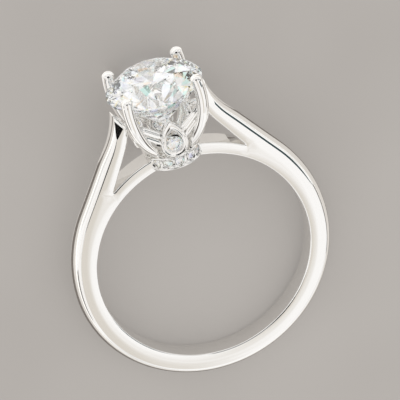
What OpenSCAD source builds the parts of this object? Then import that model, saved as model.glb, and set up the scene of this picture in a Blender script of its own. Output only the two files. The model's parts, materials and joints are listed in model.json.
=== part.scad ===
// Cathedral setting ring: a round brilliant held by four curved prongs over a small collar of stones, with
// the band's shoulders sweeping up to the head on both sides. The hoop is drawn flat in the XY plane with
// the stone towards +Y. The head and the stones are drawn upright on +Z and laid over by on_head().
// at_rest() tips the whole ring onto its side, where it lies on the stone's edge and on the far edge of the
// hoop.

/* [Band] */
// Radius of the finger hole
finger_r = 8.25; // [7.9:0.05:8.7]
// Width of the band along the finger
band_w = 1.86; // [1.7:0.02:2]
// Thickness of the band at its flat sides
wall_t = 1.29; // [1.2:0.01:1.4]
// Rise of the rounded outer face above the flat sides
dome_h = 0.46; // [0.3:0.01:0.6]

/* [Cathedral arms] */
// Lean of the straight arms from the vertical
arm_lean = 35; // [33:0.5:37]
// Distance from the hoop's centre to the line of the arms
arm_reach = 9.75; // [9.7:0.01:9.85]
// Height at which the arms begin to flare upright
flare_z = 10.43; // [10.2:0.01:10.6]
// Radius of the flare
flare_r = 6.8; // [6.4:0.1:7.2]
// Thickness of the arms in the flare
arm_t = 0.9; // [0.8:0.01:1]
// Lean of the arms' inner line above the bridge
inner_lean = 31; // [30:0.5:32]
// Height of the arms' outer ends
arm_end_z = 13.05; // [12.95:0.01:13.1]
// Slope of the cut that ends the arms
arm_end_slope = 38; // [30:1:42]
// Width of the arms at the head
arm_top_w = 1.62; // [1.5:0.01:1.7]
// Thickness of the bridge under the arms
bridge_t = 0.95; // [0.85:0.01:1.05]

/* [Centre stone] */
// Radius of the stone at its girdle
girdle_r = 3.64; // [3.55:0.01:3.7]
// Height of the girdle's lower edge above the hoop's centre
girdle_z = 14.25; // [14.2:0.01:14.4]
// Thickness of the girdle
girdle_t = 0.18; // [0.12:0.01:0.24]
// Height of the crown
crown_h = 1.06; // [1:0.01:1.12]
// Slope of the crown's main facets
crown_angle = 34.5; // [33.5:0.1:35.5]
// Slope of the pavilion's main facets
pavilion_angle = 40.8; // [40:0.1:41.4]

/* [Prongs] */
// Thickness of the prongs
prong_d = 0.84; // [0.78:0.01:0.9]
// Distance from the stone's axis to a prong at its widest
prong_reach = 3.9; // [3.86:0.01:3.95]
// Radius of the prongs' tulip curve
prong_bend = 5.4; // [5.2:0.05:5.6]
// Height at which the prongs stand upright
prong_upright_z = 14; // [13.9:0.01:14.1]
// Height of the prong tips' centres
tip_z = 14.97; // [14.9:0.01:15.1]
// Thickness of the rounded prong tips
tip_d = 0.92; // [0.88:0.01:1]

/* [Collar and petals] */
// Radius of the collar between its rims
collar_r = 2.06; // [2.03:0.01:2.1]
// Height of the collar's lower face
collar_z = 8.3; // [8.28:0.01:8.34]
// Height of the collar
collar_h = 1.06; // [1:0.01:1.1]
// Distance from the stone's axis to the front of a petal
petal_y = 2.15; // [2.1:0.01:2.2]
// Thickness of the petals
petal_t = 0.5; // [0.45:0.01:0.55]
// Half width of a petal
petal_w = 1.03; // [0.98:0.01:1.08]
// Height at which a petal is widest
petal_z = 10.28; // [10.22:0.01:10.32]
// Height of a petal's tip
petal_tip_z = 12.1; // [12:0.01:12.2]
// Half width of the opening through a petal
eye_w = 0.56; // [0.54:0.01:0.57]
// Height of the top of a petal's opening
eye_tip_z = 11.4; // [11.3:0.01:11.45]
// Thickness of the leaves from the petals to the prongs, and of the side rails
leaf_d = 0.4; // [0.36:0.01:0.46]

/* [Small stones] */
// Radius of the petals' stones
petal_stone_r = 0.6; // [0.59:0.01:0.62]
// Radius of the collar's stones
collar_stone_r = 0.37; // [0.34:0.005:0.38]
// Clearance between a stone and its seat
seat_gap = 0.03; // [0.02:0.005:0.03]

/* [Hidden] */
$fn = 96;

// Band and arms
edge_r = finger_r + wall_t;
bridge_r = finger_r + bridge_t;
dome_r = (band_w * band_w / 4 + dome_h * dome_h) / (2 * dome_h);
rail_t = 0.6;
rail_mid = rail_t / 2;
arm_inset = 0.4;
arm_lap = 1;
plate_lap = 0.3;
pinch_z = 8;
pinch_past = 2;
flare_sweep = 26;
shoulder_sweep = 40;
arm_end_x = 3.49;
arm_cut = 3;

// The shoulder is an arc that leaves the hoop upright at its side and runs into the straight arm.
shoulder_r = (arm_reach - edge_r * cos(arm_lean)) / (1 - cos(arm_lean));
shoulder_x = edge_r - shoulder_r;
arm_out = [cos(arm_lean), sin(arm_lean)];
arm_up = [-sin(arm_lean), cos(arm_lean)];
arm_start = -shoulder_x * sin(arm_lean);
flare_x = (arm_reach - flare_z * sin(arm_lean)) / cos(arm_lean);
flare_start = flare_z * cos(arm_lean) - flare_x * sin(arm_lean);

// Centre stone. Its flats stand an eighth of a turn apart, those at the girdle a sixteenth.
main_half = 22.5;
girdle_half = main_half / 2;
star_share = 0.58;
half_share = 0.77;
table_r = girdle_r - crown_h / tan(crown_angle);
pavilion_h = girdle_r * tan(pavilion_angle);
star_z = star_share * crown_h;
half_z = half_share * pavilion_h;

// Head
prong_axis = prong_reach - prong_bend;
prong_foot = asin((prong_upright_z - collar_z - collar_h) / prong_bend);
prong_top = asin((tip_z - prong_upright_z) / prong_bend);
tip_reach = prong_axis + prong_bend * cos(prong_top);
quarter_turns = [0, 90, 180, 270];
rim_h = 0.15;
rim_t = 0.06;
leaf_inset = 0.2;
leaf_rise = 0.67;
leaf_foot = [0.8, leaf_inset - petal_y, petal_z + leaf_rise];
leaf_tip = [2.3, -2.35, 12.15];
side_rail = [2.6, 1.9, 11.12];
arm_peg = [1.9, 3.05];
arm_peg_z = 11.95;
arm_peg_d = 0.5;

// Small stones
petal_stone_inset = 0.25;
petal_stone_drop = 0.05;
petal_stone_y = petal_y - petal_stone_inset;
petal_stone_z = petal_z - petal_stone_drop;
collar_places = 14;
collar_seats = [1, 2, 3, 4, 5, 8, 9, 10, 11, 12];
collar_stone_inset = 0.1;
collar_stone_y = collar_r - collar_stone_inset;
collar_stone_z = collar_z + collar_h / 2;

// The ring lies on the girdle's lower edge and on the hoop's far edge.
lie_tilt = atan((girdle_r - band_w / 2) / (girdle_z + edge_r));
rest_h = edge_r * sin(lie_tilt) + band_w / 2 * cos(lie_tilt);
top_y = tip_z * cos(lie_tilt) + tip_reach / sqrt(2) * sin(lie_tilt) + tip_d / 2;
bottom_y = -(edge_r + dome_h) * cos(lie_tilt);

COLLAR_STONES = [for (i = [1:len(collar_seats)]) str("collar_stone_", i)];

module at_rest() {
    translate([0, -(top_y + bottom_y) / 2, rest_h]) rotate([lie_tilt, 0, 0]) children();
}

module on_head() {
    rotate([-90, 0, 0]) children();
}

module both_sides() {
    children();
    mirror([1, 0, 0]) children();
}

// A D-shaped section whose flat sides end at radius r and whose rounded face looks outwards
module band_section(r) {
    intersection() {
        translate([r + dome_h - dome_r, 0]) circle(r = dome_r);
        translate([r - rail_t, -band_w / 2]) square([rail_t + 2 * dome_h, band_w]);
    }
}

// The rounded outer face of the band: round the hoop, over the shoulders, up the arms and through their
// flare
module rail() {
    rotate([0, 0, 180]) rotate_extrude(angle = 180) band_section(edge_r);
    both_sides() {
        translate([shoulder_x, 0, 0]) rotate_extrude(angle = arm_lean) band_section(shoulder_r);
        rotate([0, 0, arm_lean]) {
            translate([0, flare_start, 0]) rotate([90, 0, 0])
                linear_extrude(flare_start - arm_start) band_section(arm_reach);
            translate([arm_reach + flare_r, flare_start, 0]) rotate([0, 0, 180 - flare_sweep])
                rotate_extrude(angle = flare_sweep) translate([2 * flare_r, 0]) mirror([1, 0])
                    band_section(flare_r);
        }
    }
}

// Side view of one shoulder and arm, from inside the rail to the arm's inner line. Its stretches cross or
// lap within the rail, so that no two outlines run together.
module arm_side() {
    flare_c = (arm_reach + flare_r) * arm_out + flare_start * arm_up;
    flare_end = [cos(arm_lean - flare_sweep), sin(arm_lean - flare_sweep)];
    inner_out = [cos(inner_lean), sin(inner_lean)];
    inner_top = flare_c - (flare_r + arm_t) * inner_out;
    inner_foot = (inner_top * inner_out) * inner_out;
    arm_foot = (arm_reach - arm_inset) * arm_out + (arm_start - arm_lap) * arm_up;
    flare_foot = (arm_reach - arm_inset) * arm_out + (flare_start + plate_lap) * arm_up;
    intersection() {
        translate([shoulder_x, 0]) circle(r = shoulder_r - rail_mid);
        polygon([[0, 0], [2 * edge_r, 0], 2 * edge_r * [cos(shoulder_sweep), sin(shoulder_sweep)]]);
    }
    polygon([arm_foot, flare_foot, inner_top, inner_foot]);
    intersection() {
        difference() {
            translate(flare_c) circle(r = flare_r + arm_t);
            translate(flare_c) circle(r = flare_r + rail_mid);
        }
        polygon([flare_c, flare_c - 2 * flare_r * arm_out, flare_c - 2 * flare_r * flare_end]);
    }
}

// Side view of the band, open between the arms and the bridge
module shank_side() {
    difference() {
        union() {
            circle(r = bridge_r);
            intersection() {
                circle(r = edge_r - rail_mid);
                translate([-2 * edge_r, -2 * edge_r]) square([4 * edge_r, 2 * edge_r]);
            }
            both_sides() arm_side();
        }
        circle(r = finger_r);
    }
}

// Wedges that pinch the arms' sides in towards the head
module pinch() {
    run = arm_end_z + pinch_past - pinch_z;
    narrow = (band_w - arm_top_w) / 2 * run / (arm_end_z - pinch_z);
    for (s = [-1, 1]) {
        rotate([90, 0, 90]) linear_extrude(2 * edge_r, center = true)
            polygon([
                [pinch_z, s * band_w / 2],
                [pinch_z + run, s * (band_w / 2 - narrow)],
                [pinch_z + run, s * band_w]
            ]);
    }
}

module arm_end_cut() {
    both_sides() translate([arm_end_x, arm_end_z, 0]) rotate([0, 0, arm_end_slope])
        translate([-arm_cut, 0, -band_w]) cube([2 * arm_cut, arm_cut, 2 * band_w]);
}

module shank() {
    difference() {
        union() {
            linear_extrude(band_w, center = true) shank_side();
            rail();
        }
        pinch();
        arm_end_cut();
    }
}

module prong() {
    rotate([90, 0, 0]) translate([prong_axis, prong_upright_z, 0]) rotate([0, 0, -prong_foot])
        rotate_extrude(angle = prong_foot + prong_top) translate([prong_bend, 0]) circle(d = prong_d);
    translate([tip_reach, 0, tip_z]) sphere(d = tip_d);
}

// A pointed arch: half width w at its foot, height h, closed below by a half circle
module lancet(w, h) {
    c = (h * h - w * w) / (2 * w);
    circle(r = w);
    intersection() {
        translate([c, 0]) circle(r = w + c);
        translate([-c, 0]) circle(r = w + c);
        translate([-w, 0]) square([2 * w, h]);
    }
}

module rod(a, b, d) {
    v = b - a;
    translate(a) rotate([0, acos(v[2] / norm(v)), atan2(v[1], v[0])]) cylinder(d = d, h = norm(v));
}

// A petal faces -Y, and a leaf rises from each of its flanks to the prong beside it.
module petal() {
    translate([0, petal_t - petal_y, petal_z]) rotate([90, 0, 0]) linear_extrude(petal_t)
        lancet(petal_w, petal_tip_z - petal_z);
    both_sides() rod(leaf_foot, leaf_tip, leaf_d);
}

module petal_eye() {
    translate([0, 2 * petal_t - petal_y, petal_z]) rotate([90, 0, 0]) linear_extrude(3 * petal_t)
        lancet(eye_w, eye_tip_z - petal_z);
}

module collar() {
    top = collar_z + collar_h;
    rotate_extrude() polygon([
        [0, collar_z],
        [collar_r + rim_t, collar_z],
        [collar_r + 2 * rim_t, collar_z + rim_t],
        [collar_r + rim_t, collar_z + rim_h],
        [collar_r, collar_z + rim_h],
        [collar_r, top - rim_h],
        [collar_r + rim_t, top - rim_h],
        [collar_r + rim_t, top - rim_t],
        [collar_r, top],
        [0, top]
    ]);
}

// Prongs and petals stand on the collar. Rails run between the prongs at the sides, and a peg joins each
// side petal to the arm beside it.
module head() {
    for (a = quarter_turns) {
        rotate([0, 0, a + 45]) prong();
        rotate([0, 0, a]) petal();
    }
    both_sides() {
        rod([side_rail[0], -side_rail[1], side_rail[2]], side_rail, leaf_d);
        rod([arm_peg[0], 0, arm_peg_z], [arm_peg[1], 0, arm_peg_z], arm_peg_d);
    }
    collar();
}

// Eight flats of slope a around +Z: each lies at distance d from the axis at height 0 and leans in as it
// rises.
module eight_flats(d, a, turn) {
    below = 2 * d;
    rotate([0, 0, turn + main_half]) translate([0, 0, -below])
        cylinder(h = below + d * tan(a), r1 = (d + below / tan(a)) / cos(main_half), r2 = 0, $fn = 8);
}

// A round brilliant on +Z with the lower edge of its girdle at height 0: eight main flats above and below,
// eight stars round the table, and sixteen flats at the girdle above and below
module brilliant() {
    star_r = (girdle_r - star_z / tan(crown_angle)) / cos(main_half);
    table_d = table_r * cos(main_half);
    star_angle = atan((crown_h - star_z) / (star_r - table_d));
    girdle_d = girdle_r * cos(girdle_half);
    upper_angle = atan(star_z / (girdle_d - star_r * cos(girdle_half)));
    half_r = (girdle_r - half_z / tan(pavilion_angle)) / cos(main_half);
    lower_angle = atan(half_z / (girdle_d - half_r * cos(girdle_half)));
    intersection() {
        translate([0, 0, -pavilion_h]) cylinder(r = girdle_r, h = pavilion_h + girdle_t + crown_h);
        translate([0, 0, girdle_t]) eight_flats(girdle_r, crown_angle, 0);
        translate([0, 0, girdle_t]) eight_flats(table_d + crown_h / tan(star_angle), star_angle, main_half);
        translate([0, 0, girdle_t]) eight_flats(girdle_d, upper_angle, girdle_half);
        translate([0, 0, girdle_t]) eight_flats(girdle_d, upper_angle, -girdle_half);
        mirror([0, 0, 1]) eight_flats(girdle_r, pavilion_angle, 0);
        mirror([0, 0, 1]) eight_flats(girdle_d, lower_angle, girdle_half);
        mirror([0, 0, 1]) eight_flats(girdle_d, lower_angle, -girdle_half);
    }
}

// The room that a stone of radius r needs, with the clearance all round. Below the girdle it clears the
// corners between the stone's flats.
module stone_room(r) {
    k = r / girdle_r;
    corner_angle = atan(tan(pavilion_angle) * cos(main_half));
    culet = -pavilion_h * k - seat_gap / cos(corner_angle);
    rotate_extrude() polygon([
        [0, culet],
        [r + seat_gap, culet + (r + seat_gap) * tan(corner_angle)],
        [r + seat_gap, girdle_t * k + seat_gap / cos(crown_angle) - seat_gap * tan(crown_angle)],
        [table_r * k + seat_gap, (girdle_t + crown_h) * k + seat_gap],
        [0, (girdle_t + crown_h) * k + seat_gap]
    ]);
}

// A small stone's seat is drilled from outside, so it stays open above the girdle.
module drilled_seat(r) {
    stone_room(r);
    cylinder(r = r + seat_gap, h = 2 * petal_t);
}

module at_petal(a) {
    rotate([0, 0, a]) translate([0, -petal_stone_y, petal_stone_z]) rotate([90, 0, 0]) children();
}

module at_collar(seat) {
    a = (seat + 0.5) * 360 / collar_places;
    rotate([0, 0, a]) translate([collar_stone_y, 0, collar_stone_z]) rotate([0, 90, 0]) children();
}

module stone_seats() {
    translate([0, 0, girdle_z]) stone_room(girdle_r);
    for (a = [0, 180]) at_petal(a) drilled_seat(petal_stone_r);
    for (seat = collar_seats) at_collar(seat) drilled_seat(collar_stone_r);
}

// Band, arms, bridge, collar, petals and prongs are soldered into one piece of metal.
module ring_metal() {
    color("gainsboro") at_rest() difference() {
        union() {
            shank();
            on_head() head();
        }
        on_head() for (a = quarter_turns) rotate([0, 0, a]) petal_eye();
        on_head() stone_seats();
    }
}

module centre_stone() {
    color("lightcyan") at_rest() on_head() translate([0, 0, girdle_z]) brilliant();
}

module petal_stone(a) {
    color("lightcyan") at_rest() on_head() at_petal(a) scale(petal_stone_r / girdle_r) brilliant();
}

module collar_stone(i) {
    color("lightcyan") at_rest() on_head() at_collar(collar_seats[i - 1])
        scale(collar_stone_r / girdle_r) brilliant();
}

ring_metal();
centre_stone();
petal_stone(0);  // petal_stone_front
petal_stone(180);  // petal_stone_back
for (i = [1:len(collar_seats)]) {
    collar_stone(i);
}
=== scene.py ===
import json
import math

import bmesh
import bpy
from mathutils import Matrix, Vector
from mathutils.bvhtree import BVHTree


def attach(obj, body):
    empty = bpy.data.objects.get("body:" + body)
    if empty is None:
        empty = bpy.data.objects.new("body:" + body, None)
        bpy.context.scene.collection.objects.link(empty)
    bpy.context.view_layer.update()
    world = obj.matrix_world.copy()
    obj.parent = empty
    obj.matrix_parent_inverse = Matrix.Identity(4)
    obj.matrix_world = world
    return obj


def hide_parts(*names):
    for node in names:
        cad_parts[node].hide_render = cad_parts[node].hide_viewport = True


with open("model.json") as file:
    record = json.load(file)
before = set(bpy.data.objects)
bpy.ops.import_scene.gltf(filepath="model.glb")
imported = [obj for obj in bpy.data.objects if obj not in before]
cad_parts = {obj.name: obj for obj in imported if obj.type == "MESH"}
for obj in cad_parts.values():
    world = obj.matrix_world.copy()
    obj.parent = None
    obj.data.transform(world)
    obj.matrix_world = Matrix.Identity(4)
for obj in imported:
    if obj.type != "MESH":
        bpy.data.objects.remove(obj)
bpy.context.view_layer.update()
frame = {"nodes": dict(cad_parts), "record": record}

# The camera looks down at the ring, which lies on its side, from the same side and with the same turn of the
# stone as in the photograph. Its place is given for the upright ring, with the stone on top, and laid over
# with it.
mm = 0.001
finger_hole = frame["record"]["mounts"][0]
hoop_centre = Vector(finger_hole["pos_m"])
lie_tilt = math.atan2(-finger_hole["axis"][1], finger_hole["axis"][2])
on_side = Matrix.Translation(hoop_centre) @ Matrix.Rotation(lie_tilt, 4, "X") @ Matrix.Scale(mm, 4)
on_head = on_side @ Matrix.Rotation(-math.pi / 2, 4, "X")

view_azimuth = math.radians(-8.79)
view_elevation = math.radians(28.06)
view_roll = math.radians(-16.0)
view_aim = Vector((0.95, 0.0, 4.08))
view_distance = 297.6
lens_to_sensor = 10.0

camera = bpy.data.objects.new("camera", bpy.data.cameras.new("camera"))
bpy.context.scene.collection.objects.link(camera)
camera.data.sensor_width = 36.0
camera.data.lens = lens_to_sensor * camera.data.sensor_width
camera.matrix_world = (
    on_head
    @ Matrix.Translation(view_aim)
    @ Matrix.Rotation(view_azimuth, 4, "Z")
    @ Matrix.Rotation(math.pi / 2 - view_elevation, 4, "X")
    @ Matrix.Rotation(view_roll, 4, "Z")
    @ Matrix.Translation((0, 0, view_distance))
    @ Matrix.Scale(1 / mm, 4)
)
bpy.context.scene.camera = camera


# The ring lies on a pale tabletop of matt board, faintly mottled. It glows a little, painted light that
# lightens the ring's shadow on it.
floor_span = 3.0
floor_colour = (0.325, 0.308, 0.292, 1)
floor_shade = (0.290, 0.273, 0.258, 1)
floor_glow = 0.18
floor_light = (1.0, 0.945, 0.895, 1)


def new_material(name):
    material = bpy.data.materials.new(name)
    material.use_nodes = True
    return material, material.node_tree.nodes, material.node_tree.links


def new_piece(name, mesh_maker, material=None):
    mesh = bpy.data.meshes.new(name)
    mesh_maker.to_mesh(mesh)
    mesh_maker.free()
    piece = bpy.data.objects.new(name, mesh)
    bpy.context.scene.collection.objects.link(piece)
    if material:
        mesh.materials.append(material)
    return piece


tabletop, nodes, links = new_material("tabletop")
shader = nodes["Principled BSDF"]
shader.inputs["Roughness"].default_value = 0.9
shader.inputs["Specular IOR Level"].default_value = 0.2
place = nodes.new("ShaderNodeTexCoord")
mottle = nodes.new("ShaderNodeTexNoise")
mottle.inputs["Scale"].default_value = 45
mottle.inputs["Detail"].default_value = 2
tones = nodes.new("ShaderNodeValToRGB")
tones.color_ramp.elements[0].position = 0.35
tones.color_ramp.elements[0].color = floor_shade
tones.color_ramp.elements[1].position = 0.65
tones.color_ramp.elements[1].color = floor_colour
links.new(place.outputs["Object"], mottle.inputs["Vector"])
links.new(mottle.outputs["Fac"], tones.inputs["Fac"])
links.new(tones.outputs["Color"], shader.inputs["Base Color"])
# Painted light: the board glows evenly, which lightens the ring's shadow on it.
shader.inputs["Emission Color"].default_value = floor_light
shader.inputs["Emission Strength"].default_value = floor_glow

bm = bmesh.new()
bmesh.ops.create_grid(bm, x_segments=1, y_segments=1, size=floor_span / 2)
floor = new_piece("floor", bm, tabletop)


# The light is soft and plain: a tent of white cloth all round the ring, lit from outside, its panels a little
# uneven.
cloth_folds = 2.6
cloth_dim = (0.80, 0.785, 0.765, 1)
cloth_bright = (1.06, 1.055, 1.045, 1)

world = bpy.data.worlds.new("studio")
bpy.context.scene.world = world
world.use_nodes = True
nodes, links = world.node_tree.nodes, world.node_tree.links
place = nodes.new("ShaderNodeTexCoord")
folds = nodes.new("ShaderNodeTexNoise")
folds.inputs["Scale"].default_value = cloth_folds
folds.inputs["Detail"].default_value = 1
cloth = nodes.new("ShaderNodeValToRGB")
cloth.color_ramp.elements[0].position = 0.40
cloth.color_ramp.elements[0].color = cloth_dim
cloth.color_ramp.elements[1].position = 0.56
cloth.color_ramp.elements[1].color = cloth_bright
links.new(place.outputs["Generated"], folds.inputs["Vector"])
links.new(folds.outputs["Fac"], cloth.inputs["Fac"])
links.new(cloth.outputs["Color"], nodes["Background"].inputs["Color"])
bpy.context.scene.view_settings.view_transform = "Standard"
bpy.context.scene.cycles.max_bounces = 24
bpy.context.scene.cycles.transmission_bounces = 20
bpy.context.scene.cycles.glossy_bounces = 12


# Polished metal mirrors the room, so flags of black, teal and taupe cloth hang in the tent where the
# photograph shows dark lines in the metal, and a white softbox where it shows a broad bright one. Only
# reflections see them.
flag_reach = 0.5
black = (0.012, 0.012, 0.012, 1)
teal = (0.065, 0.115, 0.13, 1)
taupe = (0.16, 0.14, 0.125, 1)
white = (0.9, 0.9, 0.9, 1)


def reflected_only(piece):
    """Hides a stage card from everything but reflections."""
    piece.visible_camera = piece.visible_diffuse = piece.visible_shadow = piece.visible_transmission = False


def facing(toward):
    """Returns the place of something that hangs square to the ring in the direction toward."""
    outward = Vector(toward).normalized()
    along = (Vector((0, 1, 0)) - outward * outward.y).normalized()
    stand = Matrix((along.cross(outward), along, outward)).transposed().to_4x4()
    return Matrix.Translation(outward * flag_reach) @ stand


def flag(name, toward, wide, long, colour, glow=0.0):
    """Hangs a card square to the ring in the direction toward, its sides wide and long times flag_reach."""
    cloth, nodes, _ = new_material(name)
    shader = nodes["Principled BSDF"]
    shader.inputs["Base Color"].default_value = colour
    shader.inputs["Roughness"].default_value = 1.0
    shader.inputs["Specular IOR Level"].default_value = 0.0
    shader.inputs["Emission Color"].default_value = colour
    shader.inputs["Emission Strength"].default_value = glow
    bm = bmesh.new()
    bmesh.ops.create_grid(bm, x_segments=1, y_segments=1, size=0.5)
    bmesh.ops.scale(bm, verts=bm.verts, vec=(wide * flag_reach, long * flag_reach, 1))
    bmesh.ops.transform(bm, matrix=facing(toward), verts=bm.verts)
    reflected_only(new_piece(name, bm, cloth))


flag("flag_camera", (-0.135, 0.368, 0.920), 0.95, 0.62, black)
flag("flag_left", (-0.27, -0.12, 0.96), 0.30, 0.40, black)
flag("flag_right", (0.76, -0.08, 0.64), 0.48, 0.62, teal)
flag("flag_prong_left", (-0.80, -0.42, 0.02), 0.28, 0.5, taupe)
flag("flag_prong_right", (0.82, -0.50, 0.10), 0.30, 0.5, taupe)
flag("softbox_left", (-0.72, -0.10, 0.60), 0.60, 1.6, white, 0.5)


# The band's flat sides mirror one broad screen of lit cloth, beige on the left and white on the right, with a
# soft wavering edge between the two.
screen_toward = (0.135, -0.566, 0.813)
screen_size = (0.50, 0.36)
screen_from, screen_to = -0.06, 0.03
screen_waver = 0.09
screen_dim = (0.74, 0.70, 0.64, 1)
screen_bright = (1.02, 1.01, 1.0, 1)
screen, nodes, links = new_material("screen")
shader = nodes["Principled BSDF"]
shader.inputs["Base Color"].default_value = black
shader.inputs["Specular IOR Level"].default_value = 0.0
place = nodes.new("ShaderNodeTexCoord")
hung = nodes.new("ShaderNodeMapping")
hung.vector_type = "TEXTURE"
hung.inputs["Location"].default_value = facing(screen_toward).to_translation()
hung.inputs["Rotation"].default_value = facing(screen_toward).to_euler()
cloud = nodes.new("ShaderNodeTexNoise")
cloud.inputs["Scale"].default_value = 22
cloud.inputs["Detail"].default_value = 2
waver = nodes.new("ShaderNodeVectorMath")
waver.operation = "MULTIPLY_ADD"
waver.inputs[1].default_value = (screen_waver, screen_waver, screen_waver)
spread = nodes.new("ShaderNodeSeparateXYZ")
reach = nodes.new("ShaderNodeMapRange")
reach.inputs["From Min"].default_value = screen_from + screen_waver / 2
reach.inputs["From Max"].default_value = screen_to + screen_waver / 2
sheen = nodes.new("ShaderNodeValToRGB")
sheen.color_ramp.elements[0].color = screen_dim
sheen.color_ramp.elements[1].color = screen_bright
links.new(place.outputs["Object"], hung.inputs["Vector"])
links.new(hung.outputs["Vector"], cloud.inputs["Vector"])
links.new(cloud.outputs["Color"], waver.inputs[0])
links.new(hung.outputs["Vector"], waver.inputs[2])
links.new(waver.outputs["Vector"], spread.inputs["Vector"])
links.new(spread.outputs["X"], reach.inputs["Value"])
links.new(reach.outputs["Result"], sheen.inputs["Fac"])
links.new(sheen.outputs["Color"], shader.inputs["Emission Color"])
shader.inputs["Emission Strength"].default_value = 1.0
bm = bmesh.new()
bmesh.ops.create_grid(bm, x_segments=1, y_segments=1, size=0.5)
bmesh.ops.scale(bm, verts=bm.verts, vec=(*screen_size, 1))
bmesh.ops.transform(bm, matrix=facing(screen_toward), verts=bm.verts)
reflected_only(new_piece("screen", bm, screen))


# Paper cards lie on the tabletop for the metal to mirror: white far round the ring and beyond the stone, pale
# under and near it, and a darker ring close round the hoop, painted shadow where it touches the table.
card_centre, card_r, card_span = 15.0, 35.0, 8.0
under_stone_r, under_stone_y, under_stone_wide = 4.6, 11.8, 1.6
contact_at, contact_from, contact_to, contact_long = -0.8, 9.3, 12.2, 1.3
pale_to = 60.0
beyond_stone_r, beyond_stone_y = 8.0, 20.5
lift = 0.0001
ring_sides, disc_sides = 64, 32


def floor_ring(name, material, centre, inner_r, outer_r, long, height):
    """Lays a flat ring on the tabletop round the hoop, stretched by long on the stone's side."""
    bm = bmesh.new()
    at = Matrix.Translation((centre, 0, 0))
    bmesh.ops.create_circle(bm, segments=ring_sides, radius=inner_r, matrix=at)
    outside = bmesh.ops.extrude_edge_only(bm, edges=bm.edges[:])["geom"]
    outside = [v for v in outside if isinstance(v, bmesh.types.BMVert)]
    grow = outer_r / inner_r
    bmesh.ops.scale(bm, verts=outside, vec=(grow, grow, 1), space=Matrix.Translation((-centre, 0, 0)))
    for v in bm.verts:
        if v.co.y > 0:
            v.co.y *= long
    bmesh.ops.scale(bm, verts=bm.verts, vec=(mm, mm, mm))
    bmesh.ops.translate(bm, verts=bm.verts, vec=(0, hoop_centre.y, height))
    reflected_only(new_piece(name, bm, material))


def floor_disc(name, material, disc_r, y, height, wide=1.0):
    """Lays a disc on the tabletop at y, stretched by wide across, and returns it."""
    bm = bmesh.new()
    at = Matrix.Translation((0, y, height))
    bmesh.ops.create_circle(bm, cap_ends=True, segments=disc_sides, radius=disc_r, matrix=at)
    bmesh.ops.scale(bm, verts=bm.verts, vec=(wide, 1, 1))
    disc = new_piece(name, bm, material)
    reflected_only(disc)
    return disc


def paper(name, colour, shine=(1, 1, 1, 1), glow=0.0):
    """Returns a matt paper of one colour, which glows with the colour shine."""
    material, nodes, _ = new_material(name)
    shader = nodes["Principled BSDF"]
    shader.inputs["Base Color"].default_value = colour
    shader.inputs["Roughness"].default_value = 1.0
    shader.inputs["Emission Color"].default_value = shine
    shader.inputs["Emission Strength"].default_value = glow
    return material


white_card = paper("white_card", (0.9, 0.89, 0.87, 1), (1, 0.99, 0.97, 1), 0.35)
# The contact card is a painted shadow: a dark brown ring round the hoop, seen only in reflections.
contact_shadow_card = paper("contact_shade", (0.24, 0.215, 0.195, 1))
pale_card = paper("pale_card", (0.30, 0.285, 0.265, 1), (1, 0.955, 0.905, 1), 0.46)
floor_ring("white_card", white_card, card_centre, card_r, card_r * card_span, 1.0, 2 * lift)
floor_ring("contact_shade", contact_shadow_card, contact_at, contact_from, contact_to, contact_long, 1.5 * lift)
floor_ring("pale_card", pale_card, 0, contact_from, pale_to, contact_long, lift)
under_stone = hoop_centre.y + under_stone_y * mm
beyond_stone = hoop_centre.y + beyond_stone_y * mm
floor_disc("card_under_stone", pale_card, under_stone_r * mm, under_stone, 2 * lift, under_stone_wide)
floor_disc("card_beyond_stone", white_card, beyond_stone_r * mm, beyond_stone, 2.5 * lift)


# One more card lies under the head, patched light and dark, and is seen only through the stones, whose facets
# sparkle with it.
stone_card_r = 0.04
stone_card_dim = (0.56, 0.53, 0.50, 1)
stone_card_bright = (1.0, 0.99, 0.98, 1)
stone_card, nodes, links = new_material("stone_card")
shader = nodes["Principled BSDF"]
shader.inputs["Base Color"].default_value = black
place = nodes.new("ShaderNodeTexCoord")
patches = nodes.new("ShaderNodeTexNoise")
patches.inputs["Scale"].default_value = 110
patches.inputs["Detail"].default_value = 0
tones = nodes.new("ShaderNodeValToRGB")
tones.color_ramp.elements[0].position = 0.40
tones.color_ramp.elements[0].color = stone_card_dim
tones.color_ramp.elements[1].position = 0.50
tones.color_ramp.elements[1].color = stone_card_bright
links.new(place.outputs["Object"], patches.inputs["Vector"])
links.new(patches.outputs["Fac"], tones.inputs["Fac"])
links.new(tones.outputs["Color"], shader.inputs["Emission Color"])
shader.inputs["Emission Strength"].default_value = 1.0
card = floor_disc("stone_card", stone_card, stone_card_r, 0, 3 * lift)
card.visible_glossy = False
card.visible_transmission = True


# The band is cast in white metal and polished bright: a hoop of D section whose shoulders sweep up to the
# head as two arms, with a thin bridge closing the finger hole under them. It is drawn flat, one half from
# bottom to top.
finger_r = finger_hole["dims"]["r_mm"]
band_w = finger_hole["dims"]["length_mm"]
wall_t, bridge_t = 1.29, 0.95
edge_r = finger_r + wall_t
bridge_r = finger_r + bridge_t
dome_h = 0.46
slim_from, slim_to, slim_dome = 9.5, 13.2, 0.55
arm_lean, inner_lean = math.radians(35), math.radians(31)
arm_reach = 9.75
shoulder_r = (arm_reach - edge_r * math.cos(arm_lean)) / (1 - math.cos(arm_lean))
shoulder_centre = Vector((edge_r - shoulder_r, 0, 0))
arm_up = Vector((-math.sin(arm_lean), math.cos(arm_lean), 0))
arm_out = Vector((math.cos(arm_lean), math.sin(arm_lean), 0))
flare_z, flare_r, arm_t = 10.43, 6.8, 0.9
flare_foot = Vector(((arm_reach - flare_z * math.sin(arm_lean)) / math.cos(arm_lean), flare_z, 0))
flare_centre = flare_foot + flare_r * arm_out
inner_out = Vector((math.cos(inner_lean), math.sin(inner_lean), 0))
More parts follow.
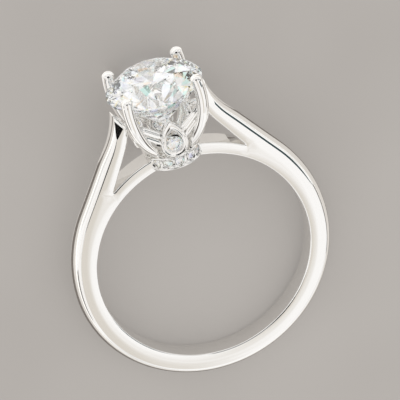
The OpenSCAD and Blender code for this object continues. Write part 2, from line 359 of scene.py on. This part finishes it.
inner_up = Vector((-math.sin(inner_lean), math.cos(inner_lean), 0))
inner_top = flare_centre - (flare_r + arm_t) * inner_out
inner_reach = inner_top.dot(inner_out)
crotch = inner_reach * inner_out + math.sqrt(bridge_r ** 2 - inner_reach ** 2) * inner_up
flare_sweep = math.radians(27)
arm_end = Vector((3.06, 12.43, 0))
arm_end_slope = math.radians(58)
arm_top, arm_top_normal = Vector((3.68, 13.42, 0)), Vector((0.3, 1, 0)).normalized()
chamfer_low, chamfer_high = Vector((3.90, 11.64, 0)), Vector((3.09, 12.40, 0))
chamfer_lean = math.radians(14)
lip_w, lip_lean = 0.2, math.radians(10)
facet_off = 0.01
arm_w, pinch_z, arm_end_z = 1.62, 8.0, 13.05
pinch_to = arm_w / band_w
edge_round, round_steps = 0.15, 5
end_round, end_steps = 0.04, 2
sharp_edge = math.radians(25)
dome_cuts, side_cuts = 9, 5
side_dome, side_dome_w = 0.03, 0.6
outer_from, outer_slope = edge_r - 0.1, 0.35
slice_x, slice_y = 1, 10.6
level, same_way = 0.999, 0.9999
weld = 0.001
upright = Vector((0, 0, 1))


def turn(bm, start, centre, angle, steps):
    """Draws what start holds round centre and returns the last copy."""
    return bmesh.ops.spin(
        bm, geom=start, cent=centre, axis=upright, angle=angle, steps=steps, use_duplicate=False
    )["geom_last"]


def run(bm, start, way, steps):
    """Draws what start holds straight along way and returns the last copy."""
    return bmesh.ops.spin(
        bm, geom=start, cent=(0, 0, 0), axis=upright, dvec=way / steps, angle=0, steps=steps,
        use_duplicate=False,
    )["geom_last"]


def band_half(bm):
    """Draws the right half of the band's flat side: a ring round the finger hole, then shoulder and arm."""
    crotch_angle = math.atan2(crotch.y, crotch.x)
    low, side, straight, high, arm, flare = 48, 28, 8, 18, 8, 14
    foot = [bmesh.ops.create_vert(bm, co=(0, -r, 0))["vert"][0] for r in (finger_r, bridge_r)]
    rung = [bm.edges.new(foot)] + foot
    for angle, steps in ((math.pi / 2, low), (crotch_angle, side), (math.pi / 2 - crotch_angle, high)):
        rung = turn(bm, rung, (0, 0, 0), angle, steps)
    known = set(bm.edges)
    inner = bmesh.ops.create_vert(bm, co=(0, -bridge_r, 0))["vert"]
    inner = turn(bm, inner, (0, 0, 0), math.pi / 2, low)
    inner = turn(bm, inner, (0, 0, 0), crotch_angle, side)
    inner = run(bm, inner, inner_top - crotch, arm)
    turn(bm, inner, flare_centre, inner_lean - arm_lean - flare_sweep, flare)
    outer = bmesh.ops.create_vert(bm, co=(0, -edge_r, 0))["vert"]
    outer = turn(bm, outer, (0, 0, 0), math.pi / 2, low)
    outer = turn(bm, outer, shoulder_centre, arm_lean, side - straight)
    abreast = arm_reach * arm_out + crotch.dot(arm_up) * arm_up
    outer = run(bm, outer, abreast - outer[0].co, straight)
    outer = run(bm, outer, flare_foot - abreast, arm)
    turn(bm, outer, flare_centre, -flare_sweep, flare)
    bmesh.ops.bridge_loops(bm, edges=[e for e in bm.edges if e not in known])


bm = bmesh.new()
band_half(bm)
half = bm.verts[:] + bm.edges[:] + bm.faces[:]
bmesh.ops.mirror(bm, geom=half, matrix=Matrix.Identity(4), axis="X", merge_dist=weld)
bmesh.ops.remove_doubles(bm, verts=bm.verts, dist=weld)
bmesh.ops.recalc_face_normals(bm, faces=bm.faces)
bmesh.ops.translate(bm, verts=bm.verts, vec=(0, 0, -band_w / 2))
raised = bmesh.ops.extrude_face_region(bm, geom=bm.faces[:])["geom"]
bmesh.ops.translate(bm, verts=[v for v in raised if isinstance(v, bmesh.types.BMVert)], vec=(0, 0, band_w))
bmesh.ops.recalc_face_normals(bm, faces=bm.faces)


def faces_out(face):
    """True for a wall of the band's outer side."""
    spot = face.calc_center_median()
    if abs(face.normal.z) > 0.5 or spot.length < outer_from:
        return False
    outwards = Vector((math.copysign(1, spot.x), outer_slope, 0))
    return face.normal.dot(outwards) > 0 or spot.y < 0


crown = [f for f in bm.faces if faces_out(f)]
across = [e for f in crown for e in f.edges if abs(e.verts[0].co.z - e.verts[1].co.z) > band_w / 2]
across = list(dict.fromkeys(across))
cut = bmesh.ops.subdivide_edges(bm, edges=across, cuts=dome_cuts, use_grid_fill=True)
bm.normal_update()
dome_r = (band_w ** 2 / 4 + dome_h ** 2) / (2 * dome_h)
for v in dict.fromkeys(v for v in cut["geom_inner"] if isinstance(v, bmesh.types.BMVert)):
    rise = dome_h - dome_r + math.sqrt(dome_r ** 2 - v.co.z ** 2)
    up_arm = min(max((v.co.y - slim_from) / (slim_to - slim_from), 0), 1)
    v.co += v.normal * rise * (1 + (slim_dome - 1) * up_arm)
for v in bm.verts:
    if v.co.y > pinch_z:
        v.co.z *= 1 + (pinch_to - 1) * (v.co.y - pinch_z) / (arm_end_z - pinch_z)
bm.normal_update()
sharp = [e for e in bm.edges if len(e.link_faces) == 2 and e.calc_face_angle() > sharp_edge]
bmesh.ops.bevel(
    bm, geom=sharp, offset=edge_round, offset_type="OFFSET", segments=round_steps, profile=0.5,
    affect="EDGES", material=-1, miter_outer="ARC",
)


def slice_arm(bm, side, at, normal):
    """Cuts off what lies beyond a plane, given for the right arm, from one arm's end, and closes the cut."""
    middles = {f: f.calc_center_median() for f in bm.faces}
    end = [f for f, middle in middles.items() if middle.x * side > slice_x and middle.y > slice_y]
    geom = end + [e for f in end for e in f.edges] + [v for f in end for v in f.verts]
    geom = list(dict.fromkeys(geom))
    place, way = Vector((side * at.x, at.y, at.z)), Vector((side * normal.x, normal.y, normal.z))
    bmesh.ops.bisect_plane(bm, geom=geom, plane_co=place, plane_no=way, clear_outer=True)
    bmesh.ops.holes_fill(bm, edges=[e for e in bm.edges if e.is_boundary], sides=0)


end_normal = Vector((-math.sin(arm_end_slope), math.cos(arm_end_slope), 0))
chamfer_up = (chamfer_high - chamfer_low).cross(upright).normalized()
half_w = band_w / 2 * pinch_to
facet_ways = []
for side in (-1, 1):
    slice_arm(bm, side, arm_end, end_normal)
    slice_arm(bm, side, arm_top, arm_top_normal)
    for face_z in (-1, 1):
        tilted = chamfer_up * math.sin(chamfer_lean) + Vector((0, 0, face_z * math.cos(chamfer_lean)))
        facet_foot = chamfer_low + Vector((0, 0, face_z * (half_w + facet_off)))
        slice_arm(bm, side, facet_foot, tilted)
        lip_foot = arm_end - lip_w * end_normal
        lip_foot += upright * (facet_foot - lip_foot).dot(tilted) / tilted.z
        to_end = (end_normal - end_normal.dot(tilted) * tilted).normalized()
        leaned = tilted * math.cos(lip_lean) + to_end * math.sin(lip_lean)
        slice_arm(bm, side, lip_foot, leaned)
        facet_ways += [Vector((side * way.x, way.y, way.z)) for way in (tilted, leaned)]
bmesh.ops.recalc_face_normals(bm, faces=bm.faces)


def faces_along(ways):
    """Returns the band's faces that look straight along one of the ways."""
    return [f for f in bm.faces if max(f.normal.dot(way) for way in ways) > same_way]


facet_edges = {e for f in faces_along(facet_ways) for e in f.edges}
end_ways = [Vector((side * end_normal.x, end_normal.y, 0)) for side in (-1, 1)]
ends = [e for f in faces_along(end_ways) for e in f.edges if e in facet_edges]
bmesh.ops.bevel(
    bm, geom=ends, offset=end_round, offset_type="OFFSET", segments=end_steps, profile=0.5, affect="EDGES",
    material=-1,
)
for face in faces_along(facet_ways):
    for edge in face.edges:
        edge.smooth = False

bm.verts.index_update()
bm.normal_update()
sides = {f for f in bm.faces if abs(f.normal.z) > level}
walls = BVHTree.FromPolygons(
    [v.co.copy() for v in bm.verts], [[v.index for v in f.verts] for f in bm.faces if f not in sides]
)
rim = {v for f in bm.faces if f not in sides for v in f.verts}
rungs = [
    e for e in bm.edges
    if len(e.link_faces) == 2 and sides.issuperset(e.link_faces) and (e.verts[0] in rim or e.verts[1] in rim)
]
bmesh.ops.subdivide_edges(bm, edges=rungs, cuts=side_cuts, use_grid_fill=True)
for v in bm.verts:
    inwards = walls.find_nearest(v.co)[3]
    if inwards > weld:
        v.co.z += math.copysign(side_dome * (1 - (1 - min(inwards / side_dome_w, 1)) ** 2), v.co.z)
bmesh.ops.transform(bm, matrix=on_side, verts=bm.verts)
for face in bm.faces:
    face.smooth = True

polish, nodes, links = new_material("polished_white_metal")
shader = nodes["Principled BSDF"]
shader.inputs["Metallic"].default_value = 1.0
shader.inputs["Base Color"].default_value = (0.925, 0.918, 0.905, 1)
place = nodes.new("ShaderNodeTexCoord")
haze = nodes.new("ShaderNodeTexNoise")
haze.inputs["Scale"].default_value = 900
haze.inputs["Detail"].default_value = 3
wear = nodes.new("ShaderNodeMapRange")
wear.inputs["To Min"].default_value = 0.03
wear.inputs["To Max"].default_value = 0.11
links.new(place.outputs["Object"], haze.inputs["Vector"])
links.new(haze.outputs["Fac"], wear.inputs["Value"])
links.new(wear.outputs["Result"], shader.inputs["Roughness"])

band = new_piece("band", bm, polish)
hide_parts("ring_metal")
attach(band, "root")


# Four prongs of drawn wire, in the band's white metal, are bent in a tulip curve, soldered to the collar's
# top, and pressed over the stone's edge as rounded claws.
prong_d, prong_sides, prong_steps = 0.84, 28, 40
prong_squareness = 0.88
prong_reach, prong_bend = 3.9, 5.4
prong_axis = prong_reach - prong_bend
prong_upright_z = 14.0
collar_top, prong_sink = 9.36, 0.1
tip_z = 14.97
prong_foot = math.asin((prong_upright_z - collar_top + prong_sink) / prong_bend)
prong_top = math.asin((tip_z - prong_upright_z) / prong_bend)
claw_r, claw_h, claw_steps = 0.45, 0.38, 9
claw_lean, claw_flat = 0.10, 0.02

prong = bmesh.new()
bmesh.ops.create_circle(prong, segments=prong_sides, radius=prong_d / 2)
for v in prong.verts:
    v.co.x = math.copysign(abs(2 * v.co.x / prong_d) ** prong_squareness, v.co.x) * prong_d / 2
    v.co.y = math.copysign(abs(2 * v.co.y / prong_d) ** prong_squareness, v.co.y) * prong_d / 2
bmesh.ops.rotate(prong, verts=prong.verts, cent=(0, 0, 0), matrix=Matrix.Rotation(prong_foot, 3, "Y"))
bend = Vector((prong_axis, 0, prong_upright_z))
start = bend + prong_bend * Vector((math.cos(prong_foot), 0, -math.sin(prong_foot)))
bmesh.ops.translate(prong, verts=prong.verts, vec=start)
last = bmesh.ops.spin(
    prong, geom=prong.verts[:] + prong.edges[:], cent=bend, axis=(0, -1, 0), angle=prong_foot + prong_top,
    steps=prong_steps, use_duplicate=False,
)["geom_last"]
ring = [e for e in last if isinstance(e, bmesh.types.BMEdge)]
previous = 1.0
height = 0.0
for step in range(1, claw_steps + 1):
    round_at = math.radians(90 * step / claw_steps)
    size = max(math.cos(round_at), claw_flat) * 2 * claw_r / prong_d
    pulled = bmesh.ops.extrude_edge_only(prong, edges=ring)["geom"]
    ring = [e for e in pulled if isinstance(e, bmesh.types.BMEdge)]
    verts = [v for v in pulled if isinstance(v, bmesh.types.BMVert)]
    rise = claw_h * math.sin(round_at) - height
    height = claw_h * math.sin(round_at)
    bmesh.ops.translate(prong, verts=verts, vec=(-claw_lean * rise / claw_h, 0, rise))
    mid = sum((v.co for v in verts), Vector()) / len(verts)
    grow = size / previous
    bmesh.ops.scale(prong, verts=verts, vec=(grow, grow, grow), space=Matrix.Translation(-mid))
    previous = size
bmesh.ops.contextual_create(prong, geom=ring)
for face in prong.faces:
    face.smooth = True
bmesh.ops.recalc_face_normals(prong, faces=prong.faces)


def round_the_head(one, first_turn):
    """Sets four copies of what one holds round the stone's axis, the first turned by first_turn."""
    part = bpy.data.meshes.new("part")
    one.to_mesh(part)
    one.free()
    bm = bmesh.new()
    for quarter in range(4):
        old = set(bm.verts)
        bm.from_mesh(part)
        turned = Matrix.Rotation(first_turn + quarter * math.pi / 2, 3, "Z")
        bmesh.ops.rotate(bm, verts=[v for v in bm.verts if v not in old], cent=(0, 0, 0), matrix=turned)
    bpy.data.meshes.remove(part)
    return bm


bm = round_the_head(prong, math.pi / 4)
bmesh.ops.transform(bm, matrix=on_head, verts=bm.verts)
prongs = new_piece("prongs", bm, polish)
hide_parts("ring_metal")
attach(prongs, "root")


# Each side of the head has a pointed petal of the same metal, pierced by an eye and soldered upright to the
# collar. The rims round its outline and round the eye stand proud, and a small stone sits in the eye's foot
# at the front and at the back.
petal_z = 10.28
petal_half, petal_tip = 1.03, 12.2 - petal_z
eye_half, eye_tip = 0.64, 11.55 - petal_z
ledge_half, ledge_tip = 0.54, 11.42 - petal_z
petal_front, petal_back = -2.15, -1.65
rim_groove = 0.09
arch_steps = 14


def arch(bm, half, tip, y):
    """Draws a drop with its point up round the eye's middle, at depth y, and returns its edges."""
    known, old = set(bm.edges), set(bm.verts)
    reach = (tip ** 2 - half ** 2) / (2 * half)
    foot = bmesh.ops.create_vert(bm, co=(0, -half, 0))["vert"]
    side = turn(bm, foot, (0, 0, 0), math.pi / 2, arch_steps)
    turn(bm, side, (-reach, 0, 0), math.acos(reach / (half + reach)), arch_steps)
    half_line = [v for v in bm.verts if v not in old] + [e for e in bm.edges if e not in known]
    bmesh.ops.mirror(bm, geom=half_line, matrix=Matrix.Identity(4), axis="X", merge_dist=weld)
    stand = Matrix.Translation((0, y, petal_z)) @ Matrix.Rotation(math.pi / 2, 4, "X")
    bmesh.ops.transform(bm, matrix=stand, verts=[v for v in bm.verts if v not in old])
    return [e for e in bm.edges if e not in known]


petal = bmesh.new()
mid_half, mid_tip = (petal_half + eye_half) / 2, (petal_tip + eye_tip) / 2
# Each row is one arch of the petal: half its width, its tip above the eye's middle, and its depth. They go
# from the back over the outer rim, the groove and the eye's rim, and through the eye to the back again.
section = (
    (petal_half, petal_tip, petal_back),
    (petal_half, petal_tip, petal_front + 0.08),
    (petal_half - 0.03, petal_tip - 0.05, petal_front + 0.02),
    (petal_half - 0.08, petal_tip - 0.12, petal_front),
    (petal_half - 0.13, petal_tip - 0.19, petal_front + 0.03),
    (mid_half, mid_tip, petal_front + rim_groove),
    (eye_half + 0.09, eye_tip + 0.12, petal_front + 0.05),
    (eye_half + 0.05, eye_tip + 0.06, petal_front + 0.02),
    (eye_half, eye_tip, petal_front + 0.06),
    (eye_half - 0.01, eye_tip - 0.01, petal_front + 0.22),
    (ledge_half, ledge_tip, petal_front + 0.3),
    (ledge_half, ledge_tip, petal_back),
)
loops = [arch(petal, *part) for part in section]
for this, following in zip(loops, loops[1:] + loops[:1]):
    bmesh.ops.bridge_loops(petal, edges=this + following)
bmesh.ops.recalc_face_normals(petal, faces=petal.faces)
for face in petal.faces:
    face.smooth = True
bm = round_the_head(petal, 0)
bmesh.ops.transform(bm, matrix=on_head, verts=bm.verts)
petals = new_piece("petals", bm, polish)
petals.modifiers.new("even_shading", "WEIGHTED_NORMAL")
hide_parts("ring_metal")
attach(petals, "root")


# From each flank of a petal a leaf of two metal bars rises to the prong beside it, soldered to both, with one
# vein cut along the upper bar. Plain rails join the prongs at the two sides, and a short peg joins each side
# petal to the arm beside it.
leaf_foot, leaf_point = Vector((0.7, -1.98, 11.1)), Vector((2.3, -2.42, 12.6))
leaf_w, leaf_t = 0.56, 0.36
edge_foot, edge_point, edge_w = Vector((0.85, -1.98, 10.6)), Vector((2.28, -2.2, 11.9)), 0.36
vein_at, vein_w, vein_h = -0.22, 0.12, 0.28
rail_end = Vector((2.6, -1.9, 11.12))
rail_d = 0.4
peg_from, peg_to = Vector((1.9, 0, 11.95)), Vector((3.05, 0, 11.95))
peg_d = 0.5
wire_sides, wire_pulls = 28, 4
# A rail would run straight along Y, where wire() finds no sideways direction, so one end is a hair aside.
askew = Vector((0.0001, 0, 0))


def wire(bm, start, end, width, depth):
    """Draws a round or flattened wire from start to end, its width across as seen from the front."""
    lengthwise = (end - start).normalized()
    sideways = Vector((0, 1, 0)).cross(lengthwise).normalized()
    stand = Matrix((sideways, lengthwise.cross(sideways), lengthwise)).transposed().to_4x4()
    old = set(bm.verts)
    bmesh.ops.create_circle(bm, cap_ends=True, segments=wire_sides, radius=0.5)
    ring = [v for v in bm.verts if v not in old]
    bmesh.ops.scale(bm, verts=ring, vec=(width, depth, 1))
    bmesh.ops.transform(bm, matrix=Matrix.Translation(start) @ stand, verts=ring)
    last = [e for e in bm.edges if e.verts[0] in ring and e.verts[1] in ring]
    for _ in range(wire_pulls):
        pulled = bmesh.ops.extrude_edge_only(bm, edges=last)["geom"]
        last = [e for e in pulled if isinstance(e, bmesh.types.BMEdge)]
        moved = [v for v in pulled if isinstance(v, bmesh.types.BMVert)]
        bmesh.ops.translate(bm, verts=moved, vec=(end - start) / wire_pulls)
    bmesh.ops.contextual_create(bm, geom=last)
    return [v for v in bm.verts if v not in old], stand


leaf = bmesh.new()
for flank in (1, -1):
    spread = Matrix.Diagonal((flank, 1, 1))
    wire(leaf, spread @ edge_foot, spread @ edge_point, edge_w, leaf_t)
    verts, stand = wire(leaf, spread @ leaf_foot, spread @ leaf_point, leaf_w, leaf_t)
    lay = stand.inverted()
    for v in verts:
        aside = lay @ (v.co - spread @ leaf_foot)
        if aside.y < 0:
            v.co.y += vein_h * max(0, 1 - abs(aside.x * flank / leaf_w - vein_at) / vein_w)
bm = round_the_head(leaf, 0)
backwards = Matrix.Diagonal((1, -1, 1)).to_4x4()
for side in (-1, 1):
    mirror = Matrix.Diagonal((side, 1, 1)).to_4x4()
    wire(bm, mirror @ rail_end, mirror @ backwards @ rail_end + askew, rail_d, rail_d)
    wire(bm, mirror @ peg_from, mirror @ peg_to, peg_d, peg_d)
bmesh.ops.recalc_face_normals(bm, faces=bm.faces)
for face in bm.faces:
    face.smooth = len(face.verts) == 4
bmesh.ops.transform(bm, matrix=on_head, verts=bm.verts)
leaves = new_piece("leaves", bm, polish)
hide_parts("ring_metal")
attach(leaves, "root")


# The collar is a short drum, turned in the same metal, with a bright rim above and below. Small stones are
# sunk in its wall at the front and the back, held by beads raised between them.
collar_foot = 8.3
collar_mid = (collar_foot + collar_top) / 2
collar_r, rim_out, rim_r = 2.06, 0.045, 0.075
lid_steps, rim_steps, drum_sides, drum_weld = 6, 8, 112, 0.0005
seats = 14
seat_turn = 2 * math.pi / seats
stone_seats = (1, 2, 3, 4, 5, 8, 9, 10, 11, 12)
seat_r, seat_inset, seat_point, seat_depth = 0.395, 0.1, 0.02, 0.34
bore_h, bore_mid, bore_sides = 0.5, 0.249, 32
bead_r, bead_out, bead_rise = 0.085, 0.01, 0.24

bm = bmesh.new()
foot = bmesh.ops.create_vert(bm, co=(0, 0, collar_foot))["vert"]
profile = run(bm, foot, Vector((collar_r + rim_out, 0, 0)), lid_steps)
for centre_z, gap in ((collar_foot + rim_r, collar_top - collar_foot - 4 * rim_r), (collar_top - rim_r, 0)):
    profile = bmesh.ops.spin(
        bm, geom=profile, cent=(collar_r + rim_out, 0, centre_z), axis=(0, -1, 0), angle=math.pi,
        steps=rim_steps, use_duplicate=False,
    )["geom_last"]
    if gap:
        profile = run(bm, profile, Vector((0, 0, gap)), 1)
run(bm, profile, Vector((-collar_r - rim_out, 0, 0)), lid_steps)
bmesh.ops.spin(
    bm, geom=bm.verts[:] + bm.edges[:], cent=(0, 0, 0), axis=upright, angle=2 * math.pi, steps=drum_sides,
    use_merge=True, use_duplicate=False,
)
bmesh.ops.remove_doubles(bm, verts=bm.verts, dist=drum_weld)
bmesh.ops.recalc_face_normals(bm, faces=bm.faces)
for face in bm.faces:
    face.smooth = True
collar = new_piece("collar", bm, polish)

bm = bmesh.new()
for seat in stone_seats:
    around = Matrix.Rotation((seat + 0.5) * seat_turn, 4, "Z")
    lay = around @ Matrix.Translation((collar_r - seat_inset, 0, collar_mid))
    lay = lay @ Matrix.Rotation(math.pi / 2, 4, "Y")
    bmesh.ops.create_cone(
        bm, cap_ends=True, segments=bore_sides, radius1=seat_point, radius2=seat_r, depth=seat_depth,
        matrix=lay @ Matrix.Translation((0, 0, -seat_depth / 2)),
    )
    bmesh.ops.create_cone(
        bm, cap_ends=True, segments=bore_sides, radius1=seat_r, radius2=seat_r, depth=bore_h,
        matrix=lay @ Matrix.Translation((0, 0, bore_mid)),
    )
drills = new_piece("drills", bm)
drilling = collar.modifiers.new("drilling", "BOOLEAN")
drilling.object = drills
drilling.operation = "DIFFERENCE"
drilling.solver = "EXACT"
drilling.use_self = True
drilled = bpy.data.meshes.new_from_object(collar.evaluated_get(bpy.context.evaluated_depsgraph_get()))
collar.modifiers.clear()
bare, collar.data = collar.data, drilled
bpy.data.meshes.remove(bare)
bpy.data.objects.remove(drills)
collar.data.transform(on_head)
for polygon in collar.data.polygons:
    polygon.use_smooth = True
collar.modifiers.new("even_shading", "WEIGHTED_NORMAL")
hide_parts("ring_metal")
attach(collar, "root")

bm = bmesh.new()
for seat in range(seats):
    around = Matrix.Rotation(seat * seat_turn, 4, "Z")
    for height in (-bead_rise, bead_rise):
        spot = around @ Matrix.Translation((collar_r + bead_out, 0, collar_mid + height))
        bmesh.ops.create_icosphere(bm, subdivisions=2, radius=bead_r, matrix=spot)
for face in bm.faces:
    face.smooth = True
bmesh.ops.transform(bm, matrix=on_head, verts=bm.verts)
beads = new_piece("collar_beads", bm, polish)
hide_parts("ring_metal")
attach(beads, "root")


# The stones are round brilliants cut from clear diamond, the large one under the prongs and the small ones in
# their seats. Their facets are polished flat and throw the light about. Here and there a facet's glass is
# tinted with a fleck of colour: painted fire, in place of the colours that real facets split from the light.
facet_step = (0.02, 0.02, 0.02)
fire_fleck_size, fire_fleck_weight = (0.0007, 0.0009, 0.0008), (900, 900, 900)

diamond, nodes, links = new_material("diamond")
nodes.remove(nodes["Principled BSDF"])
glass = nodes.new("ShaderNodeBsdfGlass")
glass.inputs["IOR"].default_value = 2.42
glass.inputs["Roughness"].default_value = 0.0
surface = nodes.new("ShaderNodeNewGeometry")
facet = nodes.new("ShaderNodeVectorMath")
facet.operation = "SNAP"
facet.inputs[1].default_value = facet_step
place = nodes.new("ShaderNodeTexCoord")
fire_fleck = nodes.new("ShaderNodeVectorMath")
fire_fleck.operation = "SNAP"
fire_fleck.inputs[1].default_value = fire_fleck_size
both = nodes.new("ShaderNodeVectorMath")
both.operation = "MULTIPLY_ADD"
both.inputs[1].default_value = fire_fleck_weight
draw = nodes.new("ShaderNodeTexWhiteNoise")
hue = nodes.new("ShaderNodeValToRGB")
hue.color_ramp.interpolation = "CONSTANT"
# Painted fire: most facets stay white, and a few are tinted pale blue, violet, teal, orange or yellow.
painted_fire = (
    (0.0, (1, 1, 1, 1)),
    (0.68, (0.95, 0.97, 1, 1)),
    (0.77, (1, 0.98, 0.94, 1)),
    (0.84, (0.95, 0.995, 0.985, 1)),
    (0.88, (0.95, 0.94, 1, 1)),
    (0.93, (0.74, 0.98, 0.95, 1)),
    (0.948, (1, 0.87, 0.76, 1)),
    (0.966, (0.83, 0.85, 1, 1)),
    (0.984, (1, 0.94, 0.74, 1)),
)
for at, colour in painted_fire:
    stop = hue.color_ramp.elements.new(at) if at else hue.color_ramp.elements[0]
    stop.color = colour
hue.color_ramp.elements.remove(hue.color_ramp.elements[-1])
links.new(surface.outputs["True Normal"], facet.inputs[0])
links.new(place.outputs["Object"], fire_fleck.inputs[0])
links.new(fire_fleck.outputs["Vector"], both.inputs[0])
links.new(facet.outputs["Vector"], both.inputs[2])
links.new(both.outputs["Vector"], draw.inputs["Vector"])
links.new(draw.outputs["Value"], hue.inputs["Fac"])
links.new(hue.outputs["Color"], glass.inputs["Color"])
links.new(glass.outputs["BSDF"], nodes["Material Output"].inputs["Surface"])
for name, node in frame["nodes"].items():
    if "stone" in name:
        node.data.materials.clear()
        node.data.materials.append(diamond)
